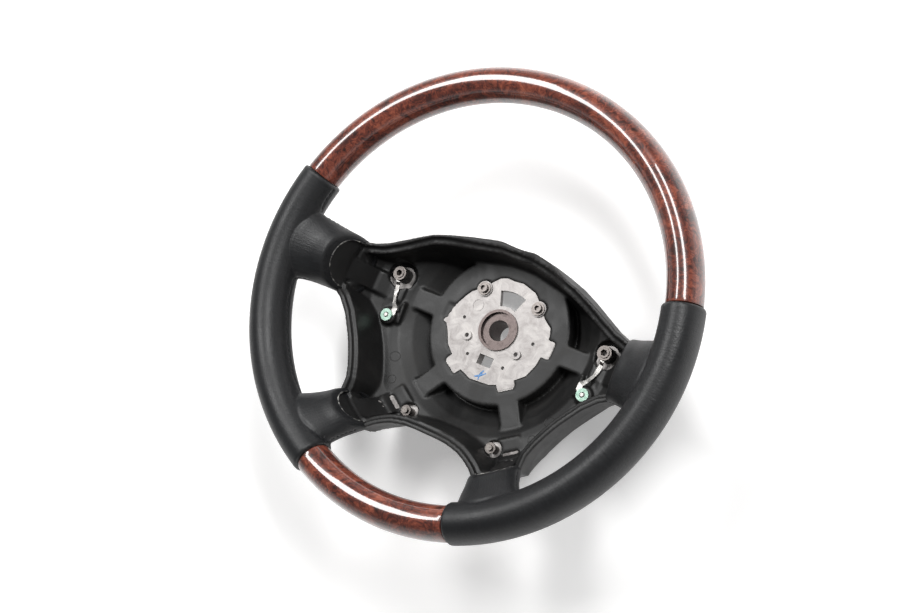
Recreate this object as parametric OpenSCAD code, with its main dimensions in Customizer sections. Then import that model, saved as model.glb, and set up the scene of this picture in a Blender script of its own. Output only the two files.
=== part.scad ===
/* [Rim] */
// Outer diameter of the wooden rim
rim_d = 380; // [370:1:390]
// Width of the wooden section, across the rim
wood_w = 28; // [26:0.5:30]
// Height of the wooden section, along the steering axis
wood_h = 35.4; // [33:0.2:37]
// Height of the rim's middle above the back of the hub shell
rim_z = 104; // [100:1:108]
// How far the rim's centre lies above the hub bore, towards 12 o'clock
rim_rise = 9; // [6:0.5:12]
// Angle that the upper wood spans
upper_wood_angle = 146; // [140:1:150]
// Angle that the lower wood spans
lower_wood_angle = 44; // [38:1:46]
// Gap between wood and leather, measured along the rim in degrees
joint_gap_angle = 0.2; // [0.1:0.05:0.4]

/* [Leather grips] */
// Width of the leather section, across the rim
grip_w = 32.4; // [31:0.2:34]
// Height of the leather section, along the steering axis
grip_h = 40.4; // [39:0.2:42]
// How far the leather stands outside the wood on the outer edge
grip_proud = 2; // [1:0.5:3]
// Thickness of the leather with its felt backing
leather_t = 1.6; // [1.2:0.1:2]

/* [Armature] */
// Width of the cast core inside the rim
core_w = 11; // [9:0.5:13]
// Height of the cast core inside the rim
core_h = 14; // [12:0.5:16]
// Front face of the hub plate above the back of the shell
plate_z = 26.5; // [25:0.5:28]
// Thickness of the hub plate
plate_t = 5; // [4:0.5:6]
// Width of the bare spoke roots
spoke_w = 16; // [13:0.5:17]
// Thickness of the cast spokes
spoke_t = 5.5; // [4.5:0.5:6]
// Angle of the lower spokes from 6 o'clock, seen from the hub
lower_spoke_angle = 33; // [31:1:35]

/* [Hub insert] */
// Diameter of the bore for the steering column
bore_d = 17.8; // [16:0.1:19]
// Diameter of the raised ring round the bolt seat
seat_ring_d = 35; // [33:0.5:37]
// Height of the raised ring above the hub plate
seat_ring_h = 1.6; // [1:0.2:2.4]
// Depth of the conical bolt seat
seat_depth = 3; // [2:0.2:4]
// Back end of the hub insert above the back of the shell
insert_z = 0; // [0:0.5:5]

/* [Hub shell] */
// Thickness of the shell's wall at its lip
wall_t = 6; // [5:0.5:7]
// Height of the lip along the sides and the bottom
lip_z = 74; // [72:1:76]
// Radius of the raised disc round the hub plate
disc_r = 63.5; // [62:0.5:65]
// Height of the disc above the hub plate
disc_rise = 0.5; // [0:0.1:1]
// Width of the four ribs that cover the spokes
rib_w = 18.6; // [18:0.1:20]
// Radius of the recess in the back for the column contacts
recess_r = 50; // [49:0.5:51]

/* [Horn contacts] */
// Distance of each airbag post from the middle
post_x = 100.2; // [99:0.2:101]
// Height of the airbag posts above the hub axis, towards 12 o'clock
post_y = 13.2; // [12.6:0.2:13.8]
// Top of the airbag posts above the back of the shell
post_top = 42.4; // [42:0.2:43]
// Travel of each airbag post when the horn is pressed
horn_travel = 1.8; // [1.2:0.1:2]
// Diameter of the flange on each post
post_flange_d = 12; // [11:0.2:13]
// Distance of each contact disc from the middle
contact_x = 96.5; // [95.5:0.5:97.5]
// Distance of each contact disc below the hub axis
contact_y = -23.8; // [-24.6:0.2:-23]
// Top of the contact discs above the back of the shell
contact_top = 40.6; // [40:0.2:41]
// Diameter of the contact discs
contact_d = 10.6; // [10:0.2:11]

/* [Studs and screws] */
// Distance of each lower stud from the middle
stud_x = 42; // [41:0.5:43]
// Distance of each lower stud below the hub axis
stud_y = -91.1; // [-92:0.1:-90]
// Top of the lower studs above the back of the shell
stud_top = 42.6; // [42:0.2:44]
// Diameter of the collar on each lower stud
stud_collar_d = 9; // [8:0.2:10]
// Distance of each plate screw from the middle
screw_x = 26.4; // [26:0.2:27]
// Distance of each plate screw above the hub axis
screw_y = 28.2; // [27.6:0.2:28.8]
// Distance of each threaded sleeve from the middle
sleeve_x = 24.2; // [23.6:0.2:25]
// Distance of each threaded sleeve below the hub axis
sleeve_y = -13.4; // [-14:0.2:-13]

/* [Hidden] */
$fn = 64;

// Rim sections
wood_r = rim_d / 2 - wood_w / 2;
grip_r = rim_d / 2 + grip_proud - grip_w / 2;
section_steps = 40;
grip_steps = 28;
inner_steps = 16;
rim_steps = 150;
foam_steps = 60;
dish_steps = 42;
foam_fn = 18;
glue_gap = 0.15;
// Gap round what the foam is moulded over, wider than the flats of its coarse curves
foam_gap = 0.45;
upper_half = upper_wood_angle / 2;
lower_half = lower_wood_angle / 2;
grip_from = lower_half + joint_gap_angle - 90;
grip_to = 90 - upper_half - joint_gap_angle;
roll_angle = 0.9;
roll_inset = 1.2;
core_corner = 3;
far = 400;

// Distance of the rim's centre line from the hub, along each spoke
upper_reach = sqrt(grip_r * grip_r - rim_rise * rim_rise);
lower_drop = rim_rise * cos(lower_spoke_angle);
lower_reach = sqrt(grip_r * grip_r - rim_rise * rim_rise + lower_drop * lower_drop) - lower_drop;
lower_turn = lower_spoke_angle - 90;
// How far each reach is from the one that the shell's outline was drawn for
upper_push = upper_reach - 175.5695;
lower_push = lower_reach - 168.1836;

// Each station of a leather covered spoke: distance in from the rim's centre line,
// top and bottom from the rim's middle, half width below and above, lean in degrees
upper_stations = [
  [0, 16, -16, 34, 33, 0], [9, 15.5, -17, 33.5, 32.5, 2], [17, 12.5, -21, 29.5, 29, 6],
  [25, 8, -30, 26.8, 27.6, 10], [35, 3.5, -45, 25.4, 26.3, 14], [44.5, 0.6, -58, 25, 25.4, 15.5],
  [46.5, -1.2, -58, 23, 23.4, 15.5]];
lower_stations = [
  [0, 16, -16, 24, 32, 0], [9, 15, -17, 24, 31.5, 2], [17, 11.5, -21, 22.5, 27, 6],
  [25, 6.5, -30, 21.2, 23.4, 10], [34, 1, -45, 20.2, 21.4, 14], [41.5, -3, -57.4, 19.6, 20.7, 15.5],
  [43.5, -4.8, -57.4, 17.8, 18.9, 15.5]];
upper_axis_y = 2;
lower_axis_y = 0;
top_power = 2.1;
bottom_power = 3;
// Opening in the leather at the end of each spoke, glued down all round
glue_edge = 3;
glue_edge_top = 5.5;
mouth_edge = 8;
mouth_deep = 16;

// Right half of the shell's outline at its widest, from 12 o'clock round to 6 o'clock
outline_half = [
  [0, 68], [14, 67.6], [27, 65], [41, 62], [55, 58], [70, 53], [83.5, 46.7], [98, 39],
  [112, 31.9], [124, 28], [133, 26], [134.5, 23], [135, 2], [134.5, -19], [133, -22.5],
  [124.5, -27.5], [115.4, -36.6], [108, -47], [102, -55.9], [96.5, -66], [91.5, -76.9],
  [88.5, -86], [88.3, -94], [88.6, -100], [72, -111], [55.5, -120.6], [50.6, -116.2],
  [46, -112.4], [38.5, -108], [31.4, -105], [22, -103], [10, -102]];
outline_fine = 1;
arm_split_y = -45;

// Rings of the shell's outside: height, inset all round, inset along the top edge
shell_rings = [[8, 17, 15], [20, 9, 7.5], [32, 5, 4], [54, 2, 0], [80, 0, 5]];
// Rings of the shell's inside: height, inset all round, inset along the top edge
cavity_rings = [[10, 19, 19], [28, 14.5, 13], [48, 10.8, 9.6], [90, wall_t, 12]];
ledge_inset = 4.4;
ledge_drop = 3.6;
ledge_lean = 1;
top_from = 18;
top_range = 16;
// Lip height along the top edge: distance from the middle, height
lip_wave = [
  [0, 49], [8, 51], [16, 54.5], [24, 56.5], [33, 57.8], [42.5, 61.6], [49, 66.5], [57, 71], [65, 72.2],
  [75, 69.6], [86, 66.6], [96, 65.4], [108, 64.8], [122, 66.4], [140, 70]];
lip_split_y = -14;

// Dish of the shell from the middle out to the spokes: radius, height
dish_back = [[64, 6], [74, 12], [86, 19], [98, 23], [108, 25], [114, 28], [121, 36], [128, 46], [150, 74]];
dish_front = [
  [disc_r, 11], [70, 15], [80, 24], [90, 31], [97, 33.5], [108, 34.5], [118, 40.5], [127, 51], [150, 82]];
skirt_r = 64;
skirt_h = 12;
skirt_t = 5;
disc_z = plate_z + disc_rise;
recess_top = plate_z - plate_t;
// Top of each rib: radius, height on the dish, then distance out from the leather's end, height
rib_root = [[disc_r - 6, disc_z], [87, disc_z + 0.6], [91.5, 29.4], [92.5, 34.6], [106, 34.8]];
rib_climb = [[-13.7, 42.6], [-12.7, 42], [-11.7, 43.6], [0.9, 69], [6.9, 76]];
rib_floor = 14;

// Irregular edge of the cast plate: angle, radius
plate_edge = [
  [0, 46], [14, 46.2], [22, 46], [28, 43], [33, 41.5], [50, 41.2], [60, 42.6], [66, 43.6], [75, 43.2],
  [84, 43.8], [95, 43], [104, 44.6], [112, 44.4], [119, 42.6], [126, 41], [140, 41.2], [149, 43.2],
  [158, 44], [168, 45.6], [176, 46.8], [186, 48.5], [190, 52.4], [192, 48.6], [199, 46.4],
  [215, 46], [240, 45.8], [262, 46.4], [285, 46.2], [300, 46.4], [326, 47.4], [340, 46.4]];
root_r = 51.7;
root_w = 15;
window_r0 = 20.6;
window_r1 = 34;
window_half = 21;
slot_w = 13.6;
slot_h = 8.6;
slot_y = -27.6;
slot_deep = 10;
slot_wall = 2;
hole_d = 3;
small_holes = [[33.9, -0.1], [17.5, -27.6]];
insert_r = 14.5;
insert_head_z = plate_z - 4;
seat_r = 15.2;
boss_r = 19.4;
boss_z = 6;
// Middle of a cast spoke seen from the side. Near the hub: radius, height. At the leather's end:
// distance out from that end, height. At the rim: distance in from the rim's centre line, height
spoke_root = [[36, plate_z - 3], [root_r, plate_z - 3], [60, plate_z - 5], [82, plate_z - 4.5], [96, 26.5]];
spoke_climb = [[-21, 29.6], [-12, 36.5], [0, 56.5]];
spoke_top = [[29.6, 80], [15.6, 93], [3.6, 101]];

// Horn contacts, from the lug up to the flange
lug_z = 25;
lug_t = 3.4;
lug_r = 8.5;
lug_hole_d = 10;
bush_z = lug_z + lug_t;
bush_d = 12.5;
bush_gap = 0.5;
bush_tail = 0.6;
flange_t = 1.2;
step_h = 1;
step_d = 8.4;
flange_z = post_top - step_h - flange_t;
press_gap = 0.2;
bush_top = flange_z - horn_travel - press_gap;
shank_d = 6;
shank_gap = 0.08;
socket_af = 5;
socket_depth = 3;
thread_d = 4.2;
foot_d = 8;
foot_t = 1.2;
foot_top = lug_z - bush_tail;
access_d = 13;
wire_d = 1;
coil_d = 8.4;
pocket_d = 10.6;
pocket_z = bush_z + 2.8;
coil_turns = 5;
coil_steps = 10;
wire_sides = 5;
post_recess_r = 12;

// Contact strip, disc and rivet on their boss
disc_t = 1.2;
strip_t = 0.7;
strip_w = 3.4;
strip_gap = 0.15;
eye_d = 9.4;
contact_base_d = 15;
contact_base_z = contact_top - disc_t - strip_t;
seat_gap = 0.05;
rivet_d = 3;
rivet_head_d = 4.6;
rivet_head_h = 0.7;
rivet_end = 30;
eye_z = contact_base_z + strip_t / 2;
tip_in = 0.9;
tip_y = post_y - bush_d / 2 + tip_in;
tip_z = bush_top - strip_t / 2;
// Route of the strip from under the flange to the contact disc: x, y, z of its middle
strip_path = [
  [post_x, tip_y, tip_z], [post_x - 0.1, tip_y - 1.8, tip_z], [post_x - 0.4, 3.6, 35.9],
  [post_x - 1, -1, 35.7], [post_x - 2.3, -6.5, 36.4], [contact_x - 1.6, -12.5, 37.8],
  [contact_x - 4.8, -16.2, eye_z], [contact_x - 5, -20.4, eye_z], [contact_x - 2.6, contact_y + 0.6, eye_z]];
strip_widths = [strip_w, strip_w, strip_w, strip_w + 0.4, strip_w - 1, strip_w - 0.4, 4.6, 4.6, 3];
web_t = 3;
web_x = 9;
web_top = 35;

// Lower studs with their collars
stud_d = 4.6;
stud_shank_d = 4;
stud_hole_d = stud_shank_d + 0.2;
stud_neck = 0.3;
stud_recess_r = 7.2;
stud_lug_t = 4;
stud_lug_r = 7;
stud_lug_top = lug_z + stud_lug_t;
stud_end = 24;
collar_top = stud_top - 2.2;
collar_gap = 0.1;
collar_ring_h = 2;
collar_d = 7;

// Screws, washers, sleeves and marks on the plate
washer_d = 11.4;
washer_t = 1.5;
screw_head_d = 7.4;
screw_head_h = 2.4;
screw_socket_af = 4;
screw_d = 5;
screw_tail = 3;
screw_pad_d = 13.4;
screw_pad_h = 1.2;
washer_z = plate_z + screw_pad_h;
sleeve_d = 8;
sleeve_h = 1.8;
sleeve_hole_d = 3.8;
mark_r = 5.2;
mark_w = 0.7;
mark_h = 0.35;
mark_spot = [-26.5, 13.5];

wood_colour = "#6b3326";
leather_colour = "#1d1e20";
foam_colour = "#2b2b2b";
cast_colour = "#a9a5a3";
steel_colour = "#8d8783";
plastic_colour = "#181818";
strip_colour = "#c9c8c6";
zinc_colour = "#8fa79b";

function signed_power(v, e) = sign(v) * pow(abs(v), e);
function oval(a, b, n) =
  [for (i = [0:n - 1]) let (t = 360 * i / n) [a * cos(t), b * sin(t)]];
function polar(p) = [for (q = p) q[1] * [cos(q[0]), sin(q[0])]];

// Point on a smooth curve through four points, u from 0 to 1 between the middle two
function blend(a, b, c, d, u) =
  0.5 * (2 * b + (c - a) * u + (2 * a - 5 * b + 4 * c - d) * u * u + (3 * b - 3 * c + d - a) * u * u * u);
function smooth_loop(p, k) =
  [for (i = [0:len(p) - 1]) for (j = [0:k - 1])
    let (n = len(p)) blend(p[(i + n - 1) % n], p[i], p[(i + 1) % n], p[(i + 2) % n], j / k)];
function smooth_line(p, k) =
  concat([for (i = [0:len(p) - 2]) for (j = [0:k - 1])
    blend(p[max(i - 1, 0)], p[i], p[i + 1], p[min(i + 2, len(p) - 1)], j / k)], [p[len(p) - 1]]);

// Unit normal of a clockwise outline at point i, pointing inwards
function normal_at(p, i) =
  let (n = len(p), t = p[(i + 1) % n] - p[(i + n - 1) % n]) [t[1], -t[0]] / norm(t);
function top_share(y) = min(max((y - top_from) / top_range, 0), 1);
function inset(p, all, top) =
  [for (i = [0:len(p) - 1]) p[i] + normal_at(p, i) * (all + (top - all) * top_share(p[i][1]))];
function at_height(p, z) = [for (q = p) [q[0], q[1], z]];
function both_halves(p) = concat(p, [for (i = [len(p) - 1:-1:1]) [-p[i][0], p[i][1]]]);
function bar_outline(path, t) =
  let (n = len(path),
    side = [for (i = [0:n - 1])
      let (d = path[min(i + 1, n - 1)] - path[max(i - 1, 0)]) [-d[1], d[0]] / norm(d) * t / 2])
  concat([for (i = [0:n - 1]) path[i] + side[i]], [for (i = [n - 1:-1:0]) path[i] - side[i]]);

// Moves the ends of the shell's arms along with the rim
function arm_share(out, from, length) = min(max((out - from) / length, 0), 1);
function follow_rim(p) =
  let (down = [sin(lower_spoke_angle), -cos(lower_spoke_angle)], on_upper = p[1] > arm_split_y)
  on_upper ? p + upper_push * arm_share(p[0], 70, 60) * [1, 0] : p + lower_push * arm_share(p * down, 85, 30) * down;

shell_outline = both_halves([for (p = outline_half) follow_rim(p)]);
fine_outline = smooth_loop(shell_outline, outline_fine);

// Ring of a spoke's section at station s, shrunk by gap and lowered at the top by drop
function spoke_ring(s, reach, axis_y, gap, drop) =
  let (top = s[1] - gap - drop, bottom = s[2] + gap, middle = (top + bottom) / 2, tall = (top - bottom) / 2,
    lean_from = (s[1] + s[2]) / 2, n = gap > 0 ? inner_steps : grip_steps)
  [for (i = [0:n - 1])
    let (t = 360 * i / n, power = sin(t) > 0 ? top_power : bottom_power,
      side = cos(t) > 0 ? s[4] - gap : s[3] - gap,
      h = middle + tall * signed_power(sin(t), 2 / power))
    [reach - s[0] + (h - lean_from) * tan(s[5]), axis_y + side * signed_power(cos(t), 2 / power), rim_z + h]];

// Radius of the leather's end on a spoke
function stub_end(stations, reach) = reach - stations[len(stations) - 1][0];
function along(root, climb, end, top, reach) =
  concat(root, [for (p = climb) [end + p[0], p[1]]], [for (p = top) [reach - p[0], p[1]]]);

// Solid through closed rings of equal count
module loft(rings) {
  m = len(rings);
  n = len(rings[0]);
  sides = [for (j = [0:m - 2]) for (i = [0:n - 1])
    let (k = (i + 1) % n, a = j * n + i, b = j * n + k, c = b + n, d = a + n) each [[a, b, c], [a, c, d]]];
  ends = [[for (i = [0:n - 1]) n - 1 - i], [for (i = [0:n - 1]) (m - 1) * n + i]];
  polyhedron(points = [for (r = rings) each r], faces = concat(ends, sides), convexity = 6);
}

// Flat bar along a route, wide across the route and thin in height
module ribbon(route, widths, t) {
  n = len(route);
  loft([for (i = [0:n - 1])
    let (d = route[min(i + 1, n - 1)] - route[max(i - 1, 0)],
      s = [d[1], -d[0], 0] / norm([d[0], d[1]]) * widths[i] / 2, h = [0, 0, t / 2])
    [route[i] - s - h, route[i] + s - h, route[i] + s + h, route[i] - s + h]]);
}

module left_too() {
  children();
  mirror([1, 0, 0]) children();
}

module left_side() {
  mirror([1, 0, 0]) children();
}

module lower_place() {
  rotate([0, 0, lower_turn]) children();
}

module hex_hole(af, depth) {
  cylinder(d = af / cos(30), h = depth, $fn = 6);
}

module rim_arc(from, to, r, steps = rim_steps) {
  translate([0, rim_rise, rim_z])
    rotate([0, 0, from])
      rotate_extrude(angle = to - from, $fn = steps)
        translate([r, 0]) children();
}

module core_section(gap = 0) {
  a = core_w / 2 + gap;
  b = core_h / 2 + gap;
  c = core_corner;
  polygon([[a, c - b], [a, b - c], [a - c, b], [c - a, b], [-a, b - c], [-a, c - b], [c - a, -b], [a - c, -b]]);
}

module wood_half(side) {
  difference() {
    polygon(oval(wood_w / 2, wood_h / 2, section_steps));
    core_section();
    translate([-far / 2, side > 0 ? -far : 0]) square(far);
  }
}

module upper_wood(side) {
  color(wood_colour) rim_arc(90 - upper_half, 90 + upper_half, wood_r) wood_half(side);
}

module lower_wood(side) {
  color(wood_colour) rim_arc(-90 - lower_half, lower_half - 90, wood_r) wood_half(side);
}

module wood_upper_front() { upper_wood(1); }
module wood_upper_back() { upper_wood(-1); }
module wood_lower_front() { lower_wood(1); }
module wood_lower_back() { lower_wood(-1); }

module spoke_form(stations, reach, axis_y, gap, fine) {
  short = 1 - gap / stations[len(stations) - 1][0];
  loft([for (s = smooth_line(stations, fine))
    spoke_ring([s[0] * short, s[1], s[2], s[3], s[4], s[5]], reach, axis_y, gap, 0)]);
}

module grip_section(gap) {
  polygon(oval(grip_w / 2 - gap, grip_h / 2 - gap, gap > roll_inset ? inner_steps : grip_steps));
}

module grip_form(gap, fine, steps = rim_steps) {
  rim_arc(grip_from, grip_to, grip_r, steps) grip_section(gap);
  spoke_form(upper_stations, upper_reach, upper_axis_y, gap, fine);
  lower_place() spoke_form(lower_stations, lower_reach, lower_axis_y, gap, fine);
}

// Opening or hollow in front of a spoke's end wall, from depth in to length towards the hub
module end_window(stations, reach, axis_y, gap, drop, depth, length) {
  s = stations[len(stations) - 1];
  shift = [1, 0, 0, 0, 0, 0];
  loft([for (step = [-depth, length]) spoke_ring(s + shift * step, reach, axis_y, gap, drop)]);
}

module end_windows(gap, drop, depth, length) {
  end_window(upper_stations, upper_reach, upper_axis_y, gap, drop, depth, length);
  lower_place() end_window(lower_stations, lower_reach, lower_axis_y, gap, drop, depth, length);
}

module filled_shell(outline, first) {
  difference() {
    loft([for (i = [first:len(shell_rings) - 1])
      let (s = shell_rings[i]) at_height(inset(outline, s[1], s[2]), s[0])]);
    above_lip();
    below_dish();
  }
}

module above_lip() {
  n = len(lip_wave) - 1;
  left = [for (i = [n:-1:1]) [-lip_wave[i][0], lip_wave[i][1]]];
  top = lip_z + far;
  translate([-far / 2, lip_split_y - far, lip_z]) cube(far);
  translate([0, far + lip_split_y, 0])
    rotate([90, 0, 0])
      linear_extrude(far)
        polygon(concat(left, lip_wave,
          [[far, lip_wave[n][1]], [far, top], [-far, top], [-far, lip_wave[n][1]]]));
}

module below_dish() {
  rotate_extrude($fn = dish_steps) polygon(concat(dish_back, [[150, -far], [skirt_r, -far]]));
}

module above_dish() {
  rotate_extrude($fn = dish_steps) polygon(concat([[0, disc_z], [disc_r, disc_z]], dish_front, [[150, far], [0, far]]));
}

// Lower part of the lip, inside the outer ridge
module ledge() {
  intersection() {
    translate([0, 0, rib_floor])
      linear_extrude(far) offset(delta = -ledge_inset) polygon(inset(fine_outline, 0, ledge_lean));
    translate([0, 0, -ledge_drop]) above_lip();
  }
}

module rib(end) {
  top = along(rib_root, rib_climb, end, [], 0);
  translate([0, rib_w / 2, 0])
    rotate([90, 0, 0])
      linear_extrude(rib_w) polygon(concat(top, [[top[len(top) - 1][0], rib_floor], [top[0][0], rib_floor]]));
}

// Upright web between two round ends: [x, y, top] of each end
module web(from, to, t) {
  hull() for (p = [from, to]) translate([p[0], p[1], rib_floor]) cylinder(d = t, h = p[2] - rib_floor);
}

module bosses() {
  translate([contact_x, contact_y, rib_floor]) cylinder(d = contact_base_d, h = contact_base_z - seat_gap - rib_floor);
  for (side = [-1, 1])
    web([contact_x + side * web_x, contact_y - 2, web_top - 1],
      [contact_x + side * (web_x - 1), -rib_w / 2, web_top], web_t);
  web([post_x, post_y - 4, bush_z], [post_x, 0, bush_z], bush_d);
  web([stud_x, stud_y, stud_lug_top], [stud_x + 6, stud_y + 4, stud_lug_top], collar_d);
}

module air() {
  difference() {
    union() {
      intersection() {
        loft([for (s = cavity_rings) at_height(inset(fine_outline, s[1], s[2]), s[0])]);
        above_dish();
      }
      ledge();
      left_too() end_windows(mouth_edge, glue_edge_top, leather_t + 3 * glue_gap, mouth_deep);
    }
    left_too() {
      rib(stub_end(upper_stations, upper_reach));
      lower_place() rib(stub_end(lower_stations, lower_reach));
      bosses();
    }
  }
}

module plate_outline() {
  polygon(polar(plate_edge));
  for (turn = [0, lower_turn, 180 - lower_turn])
    rotate(turn)
      translate([0, -root_w / 2]) square([turn == 0 ? root_r : root_r - 1, root_w]);
}

module post_place() {
  translate([post_x, post_y, 0]) children();
}

module stud_place() {
  translate([stud_x, stud_y, 0]) children();
}

module foam_body() {
  $fn = foam_fn;
  color(foam_colour) difference() {
    union() {
      filled_shell(fine_outline, 0);
      cylinder(r = skirt_r, h = skirt_h, $fn = dish_steps);
      left_too() grip_form(leather_t + foam_gap, 1, foam_steps);
    }
    air();
    translate([0, 0, -1]) cylinder(r = recess_r, h = recess_top + 1, $fn = dish_steps);
    translate([0, 0, -1]) cylinder(r = skirt_r - skirt_t, h = skirt_h + 1, $fn = dish_steps);
    translate([0, 0, recess_top - glue_gap]) linear_extrude(far) plate_outline();
    left_too() {
      post_place() {
        translate([0, 0, bush_z]) cylinder(r = post_recess_r, h = far);
        translate([0, 0, -1]) cylinder(d = access_d, h = lug_z + 1);
        cylinder(d = lug_hole_d, h = bush_z);
      }
      stud_place() {
        translate([0, 0, stud_lug_top]) cylinder(r = stud_recess_r, h = far);
        translate([0, 0, stud_end]) cylinder(d = stud_shank_d + foam_gap, h = far);
      }
      translate([contact_x, contact_y, rivet_end]) cylinder(d = rivet_d + glue_gap, h = far);
      translate([screw_x, screw_y, recess_top]) cylinder(d = screw_pad_d + foam_gap, h = far);
    }
    armature_shape(foam_steps, foam_gap);
  }
}

module spoke_bar(end, reach) {
  translate([0, spoke_w / 2, 0])
    rotate([90, 0, 0])
      linear_extrude(spoke_w) polygon(bar_outline(along(spoke_root, spoke_climb, end, spoke_top, reach), spoke_t));
}

module plate_holes() {
  rotate([0, 0, 90 - window_half])
    rotate_extrude(angle = 2 * window_half) translate([window_r0, 0]) square([window_r1 - window_r0, far]);
  translate([-slot_w / 2, slot_y - slot_h / 2, 0]) cube([slot_w, slot_h, far]);
  left_too() {
    for (p = small_holes) translate([p[0], p[1], 0]) cylinder(d = hole_d, h = far);
    translate([sleeve_x, sleeve_y, 0]) cylinder(d = sleeve_hole_d, h = far);
    translate([screw_x, screw_y, 0]) cylinder(d = screw_d, h = far);
  }
}

module armature_shape(steps = rim_steps, gap = 0) {
  difference() {
    union() {
      translate([0, 0, recess_top]) linear_extrude(plate_t) plate_outline();
      translate([0, 0, boss_z]) cylinder(r = boss_r, h = plate_z - boss_z);
      translate([-slot_w / 2 - slot_wall, slot_y - slot_h / 2 - slot_wall, plate_z - slot_deep])
        cube([slot_w + 2 * slot_wall, slot_h + 2 * slot_wall, slot_deep]);
      rim_arc(0, 360, wood_r, steps) core_section(gap);
      left_too() {
        spoke_bar(stub_end(upper_stations, upper_reach), upper_reach);
        lower_place() spoke_bar(stub_end(lower_stations, lower_reach), lower_reach);
        post_place() translate([0, 0, lug_z]) cylinder(r = lug_r + gap, h = lug_t);
        translate([post_x - lug_r, 0, lug_z]) cube([2 * lug_r, post_y, lug_t]);
        stud_place() translate([0, 0, lug_z]) cylinder(r = stud_lug_r + gap, h = stud_lug_t);
        translate([screw_x, screw_y, recess_top]) cylinder(d = screw_pad_d, h = plate_t + screw_pad_h);
        translate([sleeve_x, sleeve_y, recess_top]) cylinder(d = sleeve_d, h = plate_t + sleeve_h);
      }
      translate([mark_spot[0], mark_spot[1], recess_top]) difference() {
        cylinder(r = mark_r, h = plate_t + mark_h);
        cylinder(r = mark_r - mark_w, h = far);
      }
    }
    plate_holes();
    cylinder(r = insert_r, h = far);
    translate([0, 0, insert_head_z]) cylinder(d = seat_ring_d, h = far);
    left_too() {
      post_place() {
        cylinder(d = lug_hole_d, h = far);
        translate([0, 0, bush_z]) cylinder(d = bush_d + 2 * bush_gap, h = far);
      }
      stud_place() {
        cylinder(d = stud_hole_d, h = far);
        translate([0, 0, stud_lug_top]) cylinder(r = collar_d / 2 + bush_gap, h = far);
      }
    }
  }
}

module armature() {
  color(cast_colour) armature_shape();
}

module hub_insert() {
  color(steel_colour) difference() {
    union() {
      translate([0, 0, insert_z]) cylinder(r = insert_r, h = insert_head_z - insert_z);
      translate([0, 0, insert_head_z]) cylinder(d = seat_ring_d, h = plate_z + seat_ring_h - insert_head_z);
    }
    translate([0, 0, insert_z - 1]) cylinder(d = bore_d, h = far);
    translate([0, 0, plate_z + seat_ring_h - seat_depth]) cylinder(r = seat_r, h = far);
  }
}

// Leather of one side: the wrapped form less its core, open in front of each end wall
module leather() {
  color(leather_colour) difference() {
    union() {
      rim_arc(grip_from + roll_angle, grip_to - roll_angle, grip_r) grip_section(0);
      rim_arc(grip_from, grip_to, grip_r) grip_section(roll_inset);
      spoke_form(upper_stations, upper_reach, upper_axis_y, 0, 2);
      lower_place() spoke_form(lower_stations, lower_reach, lower_axis_y, 0, 2);
    }
    grip_form(leather_t, 1);
    filled_shell(shell_outline, 2);
    end_windows(glue_edge, glue_edge_top, 2 * leather_t, leather_t);
  }
}

module leather_grip_right() { leather(); }
module leather_grip_left() { left_side() leather(); }

module horn_insulator() {
  color(plastic_colour) post_place() difference() {
    union() {
      translate([0, 0, bush_z]) cylinder(d = bush_d, h = bush_top - bush_z);
      translate([0, 0, foot_top]) cylinder(d = lug_hole_d, h = bush_z - foot_top);
    }
    cylinder(d = shank_d + 2 * shank_gap, h = far);
    translate([0, 0, pocket_z]) cylinder(d = pocket_d, h = far);
    translate([-strip_w / 2 - strip_gap, -bush_d, bush_top - strip_t])
      cube([strip_w + 2 * strip_gap, bush_d / 2 + tip_in, far]);
  }
}

module horn_insulator_right() { horn_insulator(); }
module horn_insulator_left() { left_side() horn_insulator(); }

module horn_spring() {
  tall = flange_z - pocket_z - wire_d;
  n = coil_turns * coil_steps;
  color(steel_colour) post_place()
    loft([for (i = [0:n])
      let (t = 360 * i / coil_steps, out = [cos(t), sin(t), 0],
        c = coil_d / 2 * out + [0, 0, pocket_z + wire_d / 2 + tall * i / n])
      [for (j = [0:wire_sides - 1])
        let (f = 360 * j / wire_sides) c + wire_d / 2 * (cos(f) * out + [0, 0, sin(f)])]]);
}

module horn_spring_right() { horn_spring(); }
module horn_spring_left() { left_side() horn_spring(); }

module airbag_post() {
  color(steel_colour) post_place() difference() {
    union() {
      translate([0, 0, foot_top - foot_t]) cylinder(d = foot_d, h = foot_t);
      translate([0, 0, foot_top]) cylinder(d = shank_d, h = flange_z - foot_top);
      translate([0, 0, flange_z]) cylinder(d = post_flange_d, h = flange_t);
      translate([0, 0, flange_z + flange_t]) cylinder(d = step_d, h = step_h);
    }
    translate([0, 0, 1]) cylinder(d = thread_d, h = far);
    translate([0, 0, post_top - socket_depth]) hex_hole(socket_af, far);
  }
}

module airbag_post_right() { airbag_post(); }
module airbag_post_left() { left_side() airbag_post(); }

module contact_strip() {
  color(strip_colour) difference() {
    union() {
      ribbon(strip_path, strip_widths, strip_t);
      translate([contact_x, contact_y, contact_base_z]) cylinder(d = eye_d, h = strip_t);
    }
    translate([contact_x, contact_y, 0]) cylinder(d = rivet_d, h = far);
  }
}

module contact_strip_right() { contact_strip(); }
module contact_strip_left() { left_side() contact_strip(); }

module contact_disc() {
  color(zinc_colour) translate([contact_x, contact_y, contact_top - disc_t]) difference() {
    cylinder(d = contact_d, h = disc_t);
    translate([0, 0, -1]) cylinder(d = rivet_d, h = far);
  }
}

module contact_disc_right() { contact_disc(); }
module contact_disc_left() { left_side() contact_disc(); }

module contact_rivet() {
  color(steel_colour) translate([contact_x, contact_y, 0]) {
    translate([0, 0, rivet_end]) cylinder(d = rivet_d, h = contact_top - rivet_end);
    translate([0, 0, contact_top]) cylinder(d1 = rivet_head_d, d2 = rivet_d, h = rivet_head_h);
  }
}

module contact_rivet_right() { contact_rivet(); }
module contact_rivet_left() { left_side() contact_rivet(); }

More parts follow.
